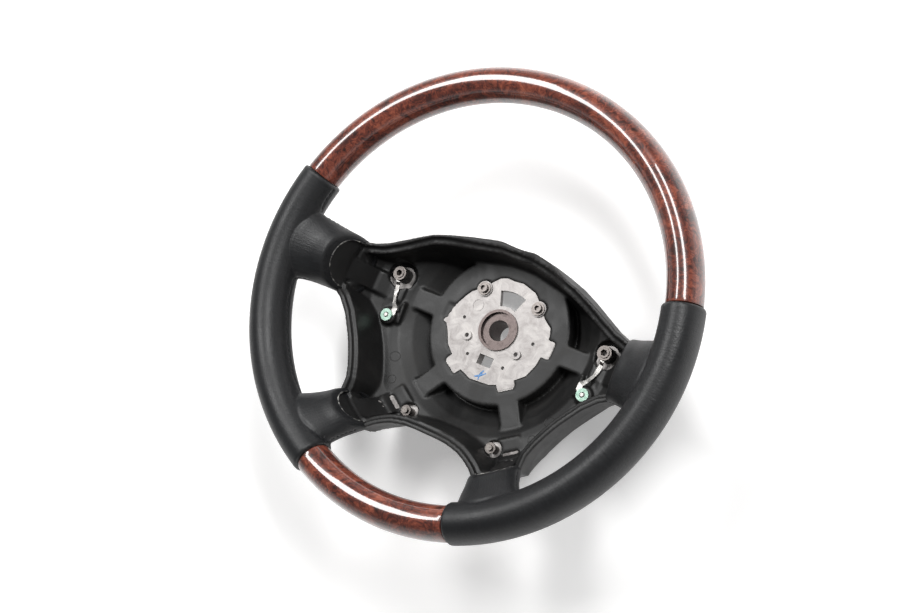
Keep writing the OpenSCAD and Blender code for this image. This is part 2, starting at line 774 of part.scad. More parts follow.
module lower_stud() {
  thread_from = collar_top + stud_neck;
  color(steel_colour) stud_place() {
    translate([0, 0, stud_end]) cylinder(d = stud_shank_d, h = thread_from - stud_end);
    translate([0, 0, thread_from]) cylinder(d = stud_d, h = stud_top - thread_from);
  }
}

module lower_stud_right() { lower_stud(); }
module lower_stud_left() { left_side() lower_stud(); }

module stud_collar() {
  color(steel_colour) stud_place() difference() {
    union() {
      translate([0, 0, stud_lug_top]) cylinder(d = collar_d, h = collar_top - stud_lug_top);
      translate([0, 0, collar_top - collar_ring_h]) cylinder(d = stud_collar_d, h = collar_ring_h);
    }
    cylinder(d = stud_hole_d, h = far);
  }
}

module stud_collar_right() { stud_collar(); }
module stud_collar_left() { left_side() stud_collar(); }

module screw_place() {
  translate([screw_x, screw_y, 0]) children();
}

module plate_screw() {
  color(steel_colour) screw_place() difference() {
    union() {
      translate([0, 0, washer_z + washer_t]) cylinder(d = screw_head_d, h = screw_head_h);
      translate([0, 0, recess_top - screw_tail])
        cylinder(d = screw_d, h = washer_z + washer_t - recess_top + screw_tail);
    }
    translate([0, 0, washer_z + washer_t]) hex_hole(screw_socket_af, far);
  }
}

module plate_screw_right() { plate_screw(); }
module plate_screw_left() { left_side() plate_screw(); }

module plate_washer() {
  color(steel_colour) screw_place() translate([0, 0, washer_z]) difference() {
    cylinder(d = washer_d, h = washer_t);
    translate([0, 0, -1]) cylinder(d = screw_d, h = far);
  }
}

module plate_washer_right() { plate_washer(); }
module plate_washer_left() { left_side() plate_washer(); }

armature();
hub_insert();
foam_body();
wood_upper_front();
wood_upper_back();
wood_lower_front();
wood_lower_back();
leather_grip_left();
leather_grip_right();
horn_insulator_left();
horn_insulator_right();
horn_spring_left();
horn_spring_right();
airbag_post_left();
airbag_post_right();
contact_strip_left();
contact_strip_right();
contact_disc_left();
contact_disc_right();
contact_rivet_left();
contact_rivet_right();
lower_stud_left();
lower_stud_right();
stud_collar_left();
stud_collar_right();
plate_screw_left();
plate_screw_right();
plate_washer_left();
plate_washer_right();
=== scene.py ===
"""Looks of a car steering wheel with burl wood arcs, leather grips and a bare hub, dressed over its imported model."""
import math

import bmesh
import bpy
import numpy as np
from bpy.props import FloatProperty, FloatVectorProperty, IntProperty, PointerProperty
from mathutils import Matrix, Vector
from mathutils.bvhtree import BVHTree
from mathutils.kdtree import KDTree


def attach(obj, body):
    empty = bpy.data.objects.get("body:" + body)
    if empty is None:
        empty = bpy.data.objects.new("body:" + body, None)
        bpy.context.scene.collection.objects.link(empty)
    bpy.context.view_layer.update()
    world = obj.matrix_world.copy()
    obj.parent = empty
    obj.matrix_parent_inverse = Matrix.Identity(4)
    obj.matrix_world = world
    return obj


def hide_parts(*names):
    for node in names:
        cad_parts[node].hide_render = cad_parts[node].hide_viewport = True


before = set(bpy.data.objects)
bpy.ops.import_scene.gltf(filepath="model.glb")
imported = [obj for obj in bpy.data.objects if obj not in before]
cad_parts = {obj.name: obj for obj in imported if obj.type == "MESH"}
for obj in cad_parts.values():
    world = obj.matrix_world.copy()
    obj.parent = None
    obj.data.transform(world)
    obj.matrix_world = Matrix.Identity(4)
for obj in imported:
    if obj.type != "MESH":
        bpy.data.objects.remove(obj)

bl_info = {
    "name": "Wood and Leather Steering Wheel",
    "version": (1, 0, 0),
    "blender": (4, 5, 0),
    "location": "View3D > Sidebar > Wheel",
    "description": "Builds the wood, leather and foam of the wheel, finishes its metal parts and sets the stage",
    "category": "Add Mesh",
}

# Sizes here are in mm from the hub bore at the back of the shell, and angles in degrees, unless a line says so
MM = 0.001
WHEEL = "wheel"
# Middle of the rim: its height towards 12 o'clock and towards the driver
RIM_RISE, RIM_Z = 9.0, 104.0
# Wood section: radius of its middle line, half width and half height, and its hollow for the cast core
WOOD_R, WOOD_HALF_W, WOOD_HALF_H = 176, 14, 17.7
CORE_HALF_W, CORE_HALF_H, CORE_CORNER = 5.5, 7, 3
WOOD_EASE = 0.5
# Leather section: radius of its middle line, half width and half height, its ends and their rounding
GRIP_R, GRIP_HALF_W, GRIP_HALF_H = 175.8, 16.2, 20.2
GRIP_FROM, GRIP_TO = -67.8, 16.8
GRIP_STEP, GRIP_ROLL = 0.3, 1.6
# Stations of the leather spokes: distance in from the rim's centre line, top and bottom from
# the rim's middle, half width below and above, lean
UPPER_STATIONS = [
    (0, 16, -16, 34, 33, 0), (9, 15.5, -17, 33.5, 32.5, 2), (17, 12.5, -21, 29.5, 29, 6),
    (25, 8, -30, 26.8, 27.6, 10), (35, 3.5, -45, 25.4, 26.3, 14), (44.5, 0.6, -58, 25, 25.4, 15.5),
    (46.5, -1.2, -58, 23, 23.4, 15.5)]
LOWER_STATIONS = [
    (0, 16, -16, 24, 32, 0), (9, 15, -17, 24, 31.5, 2), (17, 11.5, -21, 22.5, 27, 6),
    (25, 6.5, -30, 21.2, 23.4, 10), (34, 1, -45, 20.2, 21.4, 14), (41.5, -3, -57.4, 19.6, 20.7, 15.5),
    (43.5, -4.8, -57.4, 17.8, 18.9, 15.5)]
# Each spoke's stations, the rim's distance along it, the offset of its middle line and its turn in radians
SPOKES = {"upper": (UPPER_STATIONS, 175.57, 2, 0.0), "lower": (LOWER_STATIONS, 168.18, 0, math.radians(-57))}
# Rooms at the end of each leather spoke: gap all round, drop of the top, depth. The cutter stands out past it
MOUTHS = ((3, 5.5, 2.6), (7.4, 5.5, 17.0))
MOUTH_OUT = 14
# Seam of the hide: at the upper notch, round the thumb opening and at the lower notch.
# Spokes: which, side of the section, from and to distance. Rim: from and to angle
SEAM_STRETCHES = [
    [("upper", 0, 36, 14), ("rim", 11.5, 16.1)],
    [("upper", 180, 40, 17), ("rim", -18, -43.5), ("lower", 0, 17, 37)],
    [("lower", 180, 36, 16), ("rim", -65.4, -67.1)]]
SEAM_DEPTH, SEAM_WIDTH, SEAM_REACH = 0.6, 1.25, 3.5
STITCH_LENGTH, THREAD_WIDTH = 3.3, 0.75
# Glue along the cut edge: gap and drop of its line, how far below the rim it is seen, least and most radius
GLUE_GAP, GLUE_DROP, GLUE_LOW = 2.7, 5.2, (40, 32)
GLUE_LEAST, GLUE_MOST = 0.2, 0.85
# Rings on the shell's floor: x, y, radius, on both sides. Paint strokes on the plate: points x, y
MOULD_RINGS = [(76.7, -53.4, 4.2), (69.8, -72, 3.6)]
PLATE_TOP = 26.5
PAINT_STROKES = [[(-3.3, -42.6), (0.6, -40.6), (5.7, -36.9)], [(2.7, -35.3), (0.9, -39.4), (0.8, -44.1)]]
PAINT_FLATNESS = 0.12
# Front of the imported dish: its flats, its profile as radius and height, and the radii between which it is rounded
DISH_STEPS = 42
DISH_FRONT = [(63.5, 11), (70, 15), (80, 24), (90, 31), (97, 33.5), (108, 34.5), (118, 40.5), (127, 51), (150, 82)]
DISH_FROM, DISH_TO = 64, 140
# Drum that holds the shell: radius, lowest and highest height
DRUM_R, DRUM_SPAN = 142, (-20, 150)
# Softboxes in metres: name, place, direction of the long side, long side, short side, level's name
LAMPS = (("long_softbox", (0.45, 0.72, 1.3), (0.5, -0.38, 0), 1.1, 0.32, "key"),
         ("side_strip", (-0.72, 0.4, 1.36), (-0.05, 0.61, -0.31), 1.0, 0.3, "side"))
LAMP_TARGET = (0, 0, 0.1)
# Floor: half its side in metres, its linear colour and how far it is lifted towards white
FLOOR_HALF, PAPER, PAPER_LIFT = 6.0, (0.93, 0.925, 0.92, 1), 0.3
# Camera: place in mm, directions towards its right and its back, lens and sensor width
CAMERA_PLACE = (508.45, -74.82, 1059.95)
CAMERA_RIGHT, CAMERA_BACK = (0.8215, 0.4006, -0.4058), (0.4689, -0.0694, 0.8805)
LENS, SENSOR = 54.556, 36.0


def shade(hex_colour, alpha=1.0):
    """sRGB hex to linear RGBA"""
    parts = [int(hex_colour[i:i + 2], 16) / 255 for i in (1, 3, 5)]
    return tuple(c / 12.92 if c <= 0.04045 else ((c + 0.055) / 1.055) ** 2.4 for c in parts) + (alpha,)


def tint(hex_colour, label, about):
    return FloatVectorProperty(name=label, description=about, subtype="COLOR", size=4, min=0, max=1,
                               default=shade(hex_colour))


def length(size, label, about):
    return FloatProperty(name=label, description=about, default=size * MM, unit="LENGTH")


def half_angle(degrees, label, about):
    return FloatProperty(name=label, description=about, default=math.radians(degrees), subtype="ANGLE")


class WheelSizes(bpy.types.PropertyGroup):
    """Sizes of the dressed wheel that a user may change"""
    wood_radius: length(WOOD_R, "Wood radius", "Rim centre to the middle of the wood section")
    wood_half_width: length(WOOD_HALF_W, "Wood half width", "Half of the wood section across the rim")
    wood_half_height: length(WOOD_HALF_H, "Wood half height", "Half of the wood section along the axis")
    upper_half_angle: half_angle(73, "Upper wood half angle", "Half of the angle of the upper arc")
    lower_half_angle: half_angle(22, "Lower wood half angle", "Half of the angle of the lower arc")
    wood_segments: IntProperty(name="Wood segments", description="Steps along a hundred degrees of arc",
                               default=100, min=20, max=300)
    leather_voxel: length(1.3, "Leather mesh size", "Mesh size of the leather before smoothing")
    foam_voxel: length(1.25, "Foam mesh size", "Mesh size of the foam shell before smoothing")
    stitch_pitch: length(4.2, "Stitch pitch", "Distance from one stitch to the next")


class WheelColours(bpy.types.PropertyGroup):
    """Base colours of the finishes"""
    wood_dark: tint("#1e0f0c", "Wood dark", "Knots and dark clouds of the burl")
    wood_base: tint("#6b3326", "Wood", "Main red brown of the burl")
    wood_light: tint("#a0583f", "Wood light", "Light flames of the burl")
    leather: tint("#161719", "Leather", "Dyed leather")
    thread: tint("#26272a", "Thread", "Waxed thread of the seam")
    foam: tint("#191919", "Foam", "Moulded foam skin")
    cast: tint("#9f9b99", "Cast metal", "Die cast plate")
    steel: tint("#5d5452", "Steel", "Turned steel boss")
    bright: tint("#9c9a97", "Tinned strip", "Tinned contact strips")
    green: tint("#8fa79b", "Passivated zinc", "Contact discs")
    paint: tint("#3b7fc0", "Paint", "Inspection mark brushed on the plate")
    plastic: tint("#1a1a19", "Black plastic", "Bushes under the posts")


class WheelStage(bpy.types.PropertyGroup):
    """Light levels of the studio"""
    key: FloatProperty(name="Long softbox", description="Power of the long softbox on the right",
                       default=17, unit="POWER")
    side: FloatProperty(name="Side strip", description="Power of the strip softbox on the left",
                        default=15, unit="POWER")
    horizon: FloatProperty(name="Horizon", description="Strength of the light from the white walls", default=0.75)
    ceiling: FloatProperty(name="Ceiling", description="Strength of the light from the dim ceiling", default=0.16)


def node(tree, kind, inputs=None, stops=(), **settings):
    """Adds a node, sets its settings and colour stops, and fills or links its inputs. A node given as an input
    stands for its first output"""
    made = tree.nodes.new(kind)
    for name, value in settings.items():
        setattr(made, name, value)
    if stops:
        band = made.color_ramp
        while len(band.elements) < len(stops):
            band.elements.new(0.5)
        for element, (place, colour) in zip(band.elements, stops):
            element.position, element.color = place, colour
    for key, value in (inputs or {}).items():
        if isinstance(value, bpy.types.Node):
            value = value.outputs[0]
        if isinstance(value, bpy.types.NodeSocket):
            tree.links.new(value, made.inputs[key])
        else:
            made.inputs[key].default_value = value
    return made


def spread(noise, low, high):
    """Inputs of a map range that carries the middle of a noise over to low and high"""
    return {"Value": noise, "From Min": 0.3, "From Max": 0.7, "To Min": low, "To Max": high}


def new_material(name):
    mat = bpy.data.materials.new(name)
    mat.use_nodes = True
    mat.node_tree.nodes.clear()
    return mat, mat.node_tree


def finished(mat, inputs):
    """Ends a material in one surface with the given inputs"""
    surface = node(mat.node_tree, "ShaderNodeBsdfPrincipled", inputs)
    node(mat.node_tree, "ShaderNodeOutputMaterial", {"Surface": surface})
    return mat


def speckled(name, specks, stops, surface, relief=None):
    """Material whose colour, and relief as (strength, distance) where it has one, follow one fine noise"""
    mat, t = new_material(name)
    place = node(t, "ShaderNodeTexCoord").outputs["Object"]
    speck = node(t, "ShaderNodeTexNoise", {"Vector": place, **specks})
    tone = node(t, "ShaderNodeValToRGB", {"Fac": speck}, stops=stops)
    inputs = {"Base Color": tone, **surface}
    if relief:
        bump = node(t, "ShaderNodeBump", {
            "Height": speck, "Strength": relief[0], "Distance": relief[1]})
        inputs["Normal"] = bump
    return finished(mat, inputs)


def burl_wood_material(colours):
    """Burl veneer under thick clear lacquer: clouded swirls with small dark eyes, and a hard glassy gloss"""
    mat, t = new_material("lacquered_burl_veneer")
    place = node(t, "ShaderNodeTexCoord").outputs["Object"]
    swirl = node(t, "ShaderNodeTexNoise", {
        "Vector": place, "Scale": 38, "Detail": 3, "Roughness": 0.55, "Distortion": 0.6})
    bend = node(t, "ShaderNodeVectorMath", {0: swirl.outputs["Color"], 1: (0.5, 0.5, 0.5)}, operation="SUBTRACT")
    push = node(t, "ShaderNodeVectorMath", {0: bend, "Scale": 0.030}, operation="SCALE")
    warped = node(t, "ShaderNodeVectorMath", {0: place, 1: push}, operation="ADD")
    # Clouds about 18 mm wide, and finer figure about 4 mm
    cloud = node(t, "ShaderNodeTexNoise", {"Vector": warped, "Scale": 55, "Detail": 4, "Roughness": 0.6})
    figure = node(t, "ShaderNodeTexNoise", {
        "Vector": warped, "Scale": 240, "Detail": 5, "Roughness": 0.65, "Distortion": 1.2})
    # Eyes of the burl, 3 to 6 mm across and about 14 mm apart
    eyes = node(t, "ShaderNodeTexVoronoi", {"Vector": warped, "Scale": 62, "Randomness": 1.0})
    rings = node(t, "ShaderNodeMath", {0: eyes.outputs["Distance"], 1: 38.0}, operation="MULTIPLY")
    wave = node(t, "ShaderNodeMath", {0: rings}, operation="SINE")
    eye = node(t, "ShaderNodeMapRange", {
        "Value": eyes.outputs["Distance"], "From Min": 0.06, "From Max": 0.26, "To Min": 1, "To Max": 0})
    mixed = node(t, "ShaderNodeMath", {0: cloud, 1: figure}, operation="ADD")
    ringed = node(t, "ShaderNodeMath", {0: wave, 1: 0.055, 2: mixed}, operation="MULTIPLY_ADD")
    tone = node(t, "ShaderNodeMapRange", {"Value": ringed, "From Min": 0.68, "From Max": 1.34})
    wood = node(t, "ShaderNodeValToRGB", {"Fac": tone}, stops=[
        (0.0, colours.wood_dark), (0.30, shade("#45201a")), (0.52, colours.wood_base),
        (0.72, shade("#874634")), (1.0, colours.wood_light)])
    dark = node(t, "ShaderNodeMix", {"Factor": eye, "A": wood, "B": shade("#2a120d")}, data_type="RGBA")
    low = node(t, "ShaderNodeBump", {"Height": figure, "Strength": 0.02, "Distance": 0.0004})
    return finished(mat, {
        "Base Color": dark.outputs["Result"], "Roughness": 0.32, "Normal": low,
        "Coat Weight": 1.0, "Coat Roughness": 0.03, "Coat IOR": 1.55, "IOR": 1.45})


def leather_material(colours):
    """Smooth finished cowhide, drawn tight: fine pebble grain, soft cross wrinkles with painted shade in their valleys
    and painted highlights on their crests, and a satin sheen
    """
    mat, t = new_material("black_cowhide")
    place = node(t, "ShaderNodeTexCoord").outputs["Object"]
    spot = node(t, "ShaderNodeSeparateXYZ", {0: place})
    # Lengths along the rim and round its section, so that the drawn wrinkles run round the grip
    side = node(t, "ShaderNodeMath", {0: spot.outputs["X"]}, operation="ABSOLUTE")
    up = node(t, "ShaderNodeMath", {0: spot.outputs["Y"], 1: RIM_RISE * MM}, operation="SUBTRACT")
    high = node(t, "ShaderNodeMath", {0: spot.outputs["Z"], 1: RIM_Z * MM}, operation="SUBTRACT")
    turn = node(t, "ShaderNodeMath", {0: up, 1: side}, operation="ARCTAN2")
    flat = node(t, "ShaderNodeCombineXYZ", {0: side, 1: up, 2: 0.0})
    reach = node(t, "ShaderNodeVectorMath", {0: flat}, operation="LENGTH").outputs["Value"]
    out = node(t, "ShaderNodeMath", {0: reach, 1: GRIP_R * MM}, operation="SUBTRACT")
    round_turn = node(t, "ShaderNodeMath", {0: high, 1: out}, operation="ARCTAN2")
    along = node(t, "ShaderNodeMath", {0: turn, 1: WOOD_R * MM}, operation="MULTIPLY")
    across = node(t, "ShaderNodeMath", {0: round_turn, 1: 0.0055}, operation="MULTIPLY")
    deep = node(t, "ShaderNodeVectorMath", {0: place, "Scale": 0.12}, operation="SCALE")
    drawn = node(t, "ShaderNodeCombineXYZ", {0: along, 1: across, 2: deep})
    # Wrinkles about 1.6 mm apart, drawn as coarse as they show from a step away
    wrinkle = node(t, "ShaderNodeTexNoise", {
        "Vector": drawn, "Scale": 640, "Detail": 4, "Roughness": 0.6, "Distortion": 0.35})
    # Pebbles of 1.1 mm
    pebble = node(t, "ShaderNodeTexVoronoi", {"Vector": place, "Scale": 900, "Randomness": 0.9}, feature="SMOOTH_F1")
    broad = node(t, "ShaderNodeTexNoise", {"Vector": place, "Scale": 30, "Detail": 3, "Roughness": 0.5})
    height = node(t, "ShaderNodeMath", {
        0: pebble.outputs["Distance"], 1: 0.45, 2: wrinkle}, operation="MULTIPLY_ADD")
    grain = node(t, "ShaderNodeBump", {"Height": height, "Strength": 0.5, "Distance": 0.0004})
    # Painted shade and painted highlight: the colour follows the wrinkle relief, darker in its valleys and lighter on
    # its crests
    tone = node(t, "ShaderNodeMapRange", spread(wrinkle, 0.7, 1.3))
    colour = node(t, "ShaderNodeMix", {"Factor": 1.0, "A": colours.leather, "B": tone},
                  data_type="RGBA", blend_type="MULTIPLY")
    rough = node(t, "ShaderNodeMapRange", spread(broad, 0.40, 0.50))
    return finished(mat, {
        "Base Color": colour.outputs["Result"], "Roughness": rough, "Normal": grain, "IOR": 1.5})


def thread_material(colours):
    """Waxed polyester thread: black, with the sheen of its two twisted strands"""
    return speckled("waxed_polyester_thread", {"Scale": 2200, "Detail": 1},
                    [(0.35, shade("#141416")), (0.6, colours.thread)], {"Roughness": 0.36}, relief=(0.4, 0.0002))


def glue_material():
    """Contact glue squeezed out along the cut edge of the hide: pale grey, rubbed away to black in patches"""
    return speckled("contact_glue", {"Scale": 140, "Detail": 4, "Roughness": 0.7},
                    [(0.44, shade("#17171a")), (0.54, shade("#6d6c69")), (0.64, shade("#b9b7b1"))],
                    {"Roughness": 0.5}, relief=(0.5, 0.0003))


def plastic_material(colours):
    """Glass filled nylon: dull black with pale grey specks of filler"""
    return speckled("glass_filled_nylon", {"Scale": 900, "Detail": 3, "Roughness": 0.7},
                    [(0.45, colours.plastic), (0.68, shade("#4a4845"))], {"Roughness": 0.55}, relief=(0.3, 0.0003))


def paint_material(colours):
    """Marking paint brushed on bare metal: thin at its edges, with the pale plate showing through"""
    return speckled("marking_paint", {"Scale": 900, "Detail": 3, "Roughness": 0.7},
                    [(0.36, shade("#86a9c9")), (0.5, colours.paint), (0.7, shade("#2a66a8"))], {"Roughness": 0.45})


def zinc_material(colours):
    """Zinc plate with a green passivation: pale, slightly cloudy and softly bright"""
    return speckled("green_passivated_zinc", {"Scale": 420, "Detail": 3},
                    [(0.35, shade("#6f8c7d")), (0.6, colours.green)], {"Metallic": 0.55, "Roughness": 0.34})


def foam_material(colours):
    """Integral skin polyurethane foam from a steel mould: dark satin skin, faint flow clouds and a painted highlight
    on its sharp edges
    """
    mat, t = new_material("moulded_pu_foam")
    place = node(t, "ShaderNodeTexCoord").outputs["Object"]
    cloud = node(t, "ShaderNodeTexNoise", {
        "Vector": place, "Scale": 26, "Detail": 5, "Roughness": 0.6, "Distortion": 0.8})
    fine = node(t, "ShaderNodeTexNoise", {"Vector": place, "Scale": 900, "Detail": 3, "Roughness": 0.6})
    tone = node(t, "ShaderNodeValToRGB", {"Fac": cloud}, stops=[
        (0.25, shade("#121212")), (0.5, colours.foam), (0.78, shade("#262524"))])
    # Painted highlight: the sharp convex edges are mixed towards a lighter grey
    edge = node(t, "ShaderNodeNewGeometry").outputs["Pointiness"]
    painted_edge_highlight = node(t, "ShaderNodeMapRange", {
        "Value": edge, "From Min": 0.52, "From Max": 0.62, "To Min": 0, "To Max": 0.35})
    colour = node(t, "ShaderNodeMix", {"Factor": painted_edge_highlight, "A": tone, "B": shade("#4b4947")}, data_type="RGBA")
    rough = node(t, "ShaderNodeMapRange", spread(cloud, 0.40, 0.58))
    bump = node(t, "ShaderNodeBump", {"Height": fine, "Strength": 0.18, "Distance": 0.0003})
    return finished(mat, {
        "Base Color": colour.outputs["Result"], "Roughness": rough, "Normal": bump, "IOR": 1.5})


def cast_material(colours):
    """Pressure die cast aluminium as it left the die: pale grey with cold flow blotches and a dull sheen"""
    mat, t = new_material("die_cast_aluminium")
    place = node(t, "ShaderNodeTexCoord").outputs["Object"]
    blotch = node(t, "ShaderNodeTexNoise", {
        "Vector": place, "Scale": 85, "Detail": 6, "Roughness": 0.62, "Distortion": 1.1})
    speck = node(t, "ShaderNodeTexNoise", {"Vector": place, "Scale": 700, "Detail": 2})
    tone = node(t, "ShaderNodeValToRGB", {"Fac": blotch}, stops=[
        (0.3, shade("#6f6a68")), (0.48, colours.cast), (0.66, shade("#c4c0bd"))])
    rough = node(t, "ShaderNodeMapRange", spread(blotch, 0.34, 0.56))
    bump = node(t, "ShaderNodeBump", {"Height": speck, "Strength": 0.2, "Distance": 0.0003})
    return finished(mat, {
        "Base Color": tone, "Metallic": 0.4, "Roughness": rough, "Normal": bump})


def steel_material(name, colour, rough_low, rough_high, pitch=0.0):
    """Turned steel: a directional sheen from fine tool marks, darker where oil and dust have settled"""
    mat, t = new_material(name)
    place = node(t, "ShaderNodeTexCoord").outputs["Object"]
    stain = node(t, "ShaderNodeTexNoise", {"Vector": place, "Scale": 260, "Detail": 4, "Roughness": 0.6})
    dark = tuple(c * 0.45 for c in colour[:3]) + (1,)
    tone = node(t, "ShaderNodeValToRGB", {"Fac": stain}, stops=[(0.32, dark), (0.52, colour)])
    rough = node(t, "ShaderNodeMapRange", spread(stain, rough_low, rough_high))
    inputs = {"Base Color": tone, "Metallic": 0.9, "Roughness": rough}
    if pitch:
        # Thread or tool marks one pitch apart along the axis
        turns = node(t, "ShaderNodeTexWave", {"Vector": place, "Scale": 0.314 / pitch}, bands_direction="Z")
        marks = node(t, "ShaderNodeBump", {"Height": turns, "Strength": 0.6, "Distance": 0.0003})
        inputs["Normal"] = marks
    return finished(mat, inputs)


def linked(name, data):
    """New object in the scene"""
    made = bpy.data.objects.new(name, data)
    bpy.context.scene.collection.objects.link(made)
    return made


def mesh_object(name, points, faces):
    data = bpy.data.meshes.new(name)
    data.from_pydata([tuple(p) for p in points], [], faces)
    data.update()
    return linked(name, data)


def line_object(points, closed):
    """Curve through points in metres, for a node group to read"""
    data = bpy.data.curves.new("line", "CURVE")
    data.dimensions = "3D"
    line = data.splines.new("POLY")
    line.points.add(len(points) - 1)
    for point, (x, y, z) in zip(line.points, points):
        point.co = (x, y, z, 1)
    line.use_cyclic_u = closed
    return linked("line", data)


def drop(*objects):
    for o in objects:
        bpy.data.objects.remove(o)


def apply_modifiers(obj):
    """Turns the evaluated object into its plain mesh"""
    graph = bpy.context.evaluated_depsgraph_get()
    data = bpy.data.meshes.new_from_object(obj.evaluated_get(graph), depsgraph=graph)
    obj.modifiers.clear()
    obj.data = data


def dress(obj, material, sharp=None):
    """One material all over, smooth faces, and edges sharp past the given angle"""
    obj.data.materials.clear()
    obj.data.materials.append(material)
    obj.data.polygons.foreach_set("use_smooth", [True] * len(obj.data.polygons))
    if sharp:
        obj.data.set_sharp_from_angle(angle=math.radians(sharp))
    return obj


def points_of(obj):
    co = np.empty(len(obj.data.vertices) * 3, np.float64)
    obj.data.vertices.foreach_get("co", co)
    return co.reshape(-1, 3)


def set_points(obj, co):
    obj.data.vertices.foreach_set("co", co.astype(np.float32).ravel())
    obj.data.update()


def even_out(obj, rounds, hold=None):
    """Evens a mesh without shrinking it, by steps forward and back. hold is each point's share of the move"""
    co = points_of(obj)
    ends = np.empty(len(obj.data.edges) * 2, np.int64)
    obj.data.edges.foreach_get("vertices", ends)
    a, b = ends.reshape(-1, 2).T
    count = np.bincount(np.concatenate([a, b]), minlength=len(co)).astype(float)
    count[count == 0] = 1
    share = 1.0 if hold is None else hold[:, None]
    for _ in range(rounds):
        for factor in (0.5, -0.53):
            total = np.zeros_like(co)
            for axis in range(3):
                total[:, axis] = (np.bincount(a, co[b, axis], len(co)) + np.bincount(b, co[a, axis], len(co)))
            co = co + factor * share * (total / count[:, None] - co)
    set_points(obj, co)


def reskin(obj, size, rounds):
    """Gives the object one skin of small even faces, with its edges eased"""
    skin = obj.modifiers.new("skin", "REMESH")
    skin.mode = "VOXEL"
    skin.voxel_size = size
    apply_modifiers(obj)
    even_out(obj, rounds)


def cut(obj, cutter, operation, overlapping=False):
    """Cuts the object with another, which is dropped"""
    made = obj.modifiers.new("cut", "BOOLEAN")
    made.operation = operation
    made.solver = "EXACT"
    made.use_self = overlapping
    made.object = cutter
    apply_modifiers(obj)
    drop(cutter)
    if len(obj.data.polygons) < 50:
        raise RuntimeError(f"{obj.name} was lost when it was cut")


def joined(pieces, name):
    """One object with the meshes of several, which are dropped"""
    shape = bmesh.new()
    for piece in pieces:
        shape.from_mesh(piece.data)
    shape.to_mesh(pieces[0].data)
    shape.free()
    drop(*pieces[1:])
    pieces[0].name = name
    return pieces[0]


def mirrored(piece, name):
    """Copy of a piece on the other side of the wheel's middle plane"""
    copy = linked(name, piece.data.copy())
    copy.data.transform(Matrix.Diagonal((-1, 1, 1, 1)))
    copy.data.flip_normals()
    return copy


def blend_point(a, b, c, d, u):
    return 0.5 * (2 * b + (c - a) * u + (2 * a - 5 * b + 4 * c - d) * u * u + (3 * b - 3 * c + d - a) * u ** 3)


def smooth_line(points, k):
    """Smooth line through points, with k steps from each to the next"""
    p = np.array(points, float)
    n = len(p)
    out = [blend_point(p[max(i - 1, 0)], p[i], p[i + 1], p[min(i + 2, n - 1)], j / k)
           for i in range(n - 1) for j in range(k)]
    return out + [p[-1]]


def spoke_ring(s, reach, axis_y, gap, drop_top, n):
    """Closed section of a leather spoke at one station, in mm"""
    top, bottom = s[1] - gap - drop_top, s[2] + gap
    middle, tall = (top + bottom) / 2, (top - bottom) / 2
    lean_from = (s[1] + s[2]) / 2
    ring = []
    for i in range(n):
        t = 2 * math.pi * i / n
        up, across = math.sin(t), math.cos(t)
        power = 2.1 if up > 0 else 3.0
        side = (s[4] if across > 0 else s[3]) - gap
        h = middle + tall * math.copysign(abs(up) ** (2 / power), up)
        ring.append((reach - s[0] + (h - lean_from) * math.tan(math.radians(s[5])),
                     axis_y + side * math.copysign(abs(across) ** (2 / power), across), RIM_Z + h))
    return ring


def loft(rings):
    """Points and faces of a closed solid through rings of equal count"""
    m, n = len(rings), len(rings[0])
    faces = [[n - 1 - i for i in range(n)], [(m - 1) * n + i for i in range(n)]]
    for j in range(m - 1):
        for i in range(n):
            k = (i + 1) % n
            faces.append([j * n + i, j * n + k, (j + 1) * n + k, (j + 1) * n + i])
    return [p for r in rings for p in r], faces


def turned(rings, angle):
    """Rings turned about the steering axis"""
    c, s = math.cos(angle), math.sin(angle)
    return [[(x * c - y * s, x * s + y * c, z) for x, y, z in ring] for ring in rings]


def join_solids(name, solids):
    """One object, in metres, of several closed solids given in mm"""
    points, faces = [], []
    for p, f in solids:
        start = len(points)
        points += [(x * MM, y * MM, z * MM) for x, y, z in p]
        faces += [[start + i for i in face] for face in f]
    made = mesh_object(name, points, faces)
    tidy = bmesh.new()
    tidy.from_mesh(made.data)
    bmesh.ops.recalc_face_normals(tidy, faces=tidy.faces)
    tidy.to_mesh(made.data)
    tidy.free()
    return made


def grip_rings(n):
    """Rings of the leather section along the rim, rounded off over the last mm at both ends"""
    span = GRIP_TO - GRIP_FROM
    count = round(span / GRIP_STEP)
    rings = []
    for i in range(count + 1):
        angle = GRIP_FROM + span * i / count
        end = min(angle - GRIP_FROM, GRIP_TO - angle) * math.pi / 180 * GRIP_R
        less = 0.0
        if end < GRIP_ROLL:
            less = GRIP_ROLL - math.sqrt(max(GRIP_ROLL * GRIP_ROLL - (GRIP_ROLL - end) ** 2, 0))
        c, s = math.cos(math.radians(angle)), math.sin(math.radians(angle))
        ring = []
        for j in range(n):
            t = 2 * math.pi * j / n
            r = GRIP_R + (GRIP_HALF_W - less) * math.cos(t)
            ring.append((r * c, RIM_RISE + r * s, RIM_Z + (GRIP_HALF_H - less) * math.sin(t)))
        rings.append(ring)
    return rings


def new_group(name, sockets):
    """Geometry node group that reads a line, has the given inputs and ends with its finish"""
    tree = bpy.data.node_groups.new(name, "GeometryNodeTree")
    tree.interface.new_socket("Geometry", in_out="OUTPUT", socket_type="NodeSocketGeometry")
    for label, kind in {"Line": "Object", **sockets, "Finish": "Material"}.items():
        tree.interface.new_socket(label, in_out="INPUT", socket_type=f"NodeSocket{kind}")
    given = node(tree, "NodeGroupInput").outputs
    line = node(tree, "GeometryNodeObjectInfo", {"Object": given["Line"]})
    return tree, given, line.outputs["Geometry"]


def end_group(tree, given, geometry):
    real = node(tree, "GeometryNodeRealizeInstances", {"Geometry": geometry})
    painted = node(tree, "GeometryNodeSetMaterial", {"Geometry": real, "Material": given["Finish"]})
    node(tree, "NodeGroupOutput", {"Geometry": painted})
    return tree


